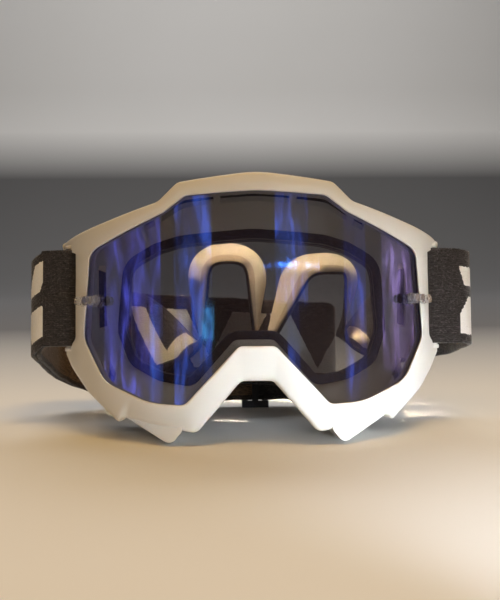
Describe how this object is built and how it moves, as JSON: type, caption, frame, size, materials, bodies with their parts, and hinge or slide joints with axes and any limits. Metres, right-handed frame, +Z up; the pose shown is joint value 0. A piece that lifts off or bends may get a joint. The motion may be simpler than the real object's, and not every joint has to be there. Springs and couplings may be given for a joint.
{
  "type": "motocross goggles",
  "caption": "Motocross goggles with a curved mirror lens in a wide moulded frame, layered face foam, tear-off posts and a woven head strap with a sliding adjuster.",
  "frame": {"origin": "middle of the whole part's box, at the height of the surface it rests on", "axes": "+X to the viewer's right along the lens, +Y back toward the wearer's head, +Z up; the goggles lean back 6.7 degrees about X, as they rest"},
  "size_m": [0.2103, 0.129, 0.1163],
  "materials": {
    "frame_white": "satin",
    "lens": "blue mirror over a brown tint",
    "clear_plastic": "clear",
    "foam": "open-cell foam",
    "fleece": "brushed fleece",
    "strap_webbing": "woven elastic with cream figures",
    "black_plastic": "satin"
  },
  "bodies": {
    "goggles": {"frame_shell": "frame_white", "lens": "lens", "tear_off_post_left": "clear_plastic", "tear_off_post_right": "clear_plastic", "post_retainer_left": "clear_plastic", "post_retainer_right": "clear_plastic", "face_foam_base": "foam", "face_foam_mid": "foam", "face_fleece": "fleece", "vent_foam_top": "foam", "vent_foam_lower_left": "foam", "vent_foam_lower_right": "foam", "vent_foam_side_left": "foam", "vent_foam_side_right": "foam", "strap_flex_left": "strap_webbing", "strap_flex_right": "strap_webbing", "strap_band": "strap_webbing", "strap_return": "strap_webbing"},
    "strap_loop_left": {"strap_loop_left": "strap_webbing"},
    "strap_loop_right": {"strap_loop_right": "strap_webbing"},
    "strap_adjuster": {"strap_adjuster": "black_plastic"}
  },
  "joints": [
    {"name": "strap_end_left", "type": "hinge", "parent": "goggles", "child": "strap_loop_left", "pos_m": [-0.0855, -0.00469, 0.06099], "axis": [0, -0.1168, -0.9932], "range_deg": [-10, 30], "deforming": ["strap_flex_left"]},
    {"name": "strap_end_right", "type": "hinge", "parent": "goggles", "child": "strap_loop_right", "pos_m": [0.0855, -0.00469, 0.06099], "axis": [0, 0.1168, 0.9932], "range_deg": [-10, 30], "deforming": ["strap_flex_right"]},
    {"name": "adjuster_slide", "type": "slide", "parent": "goggles", "child": "strap_adjuster", "axis": [1, 0, 0], "range_m": [-0.045, 0.03], "deforming": ["strap_return"]}
  ]
}
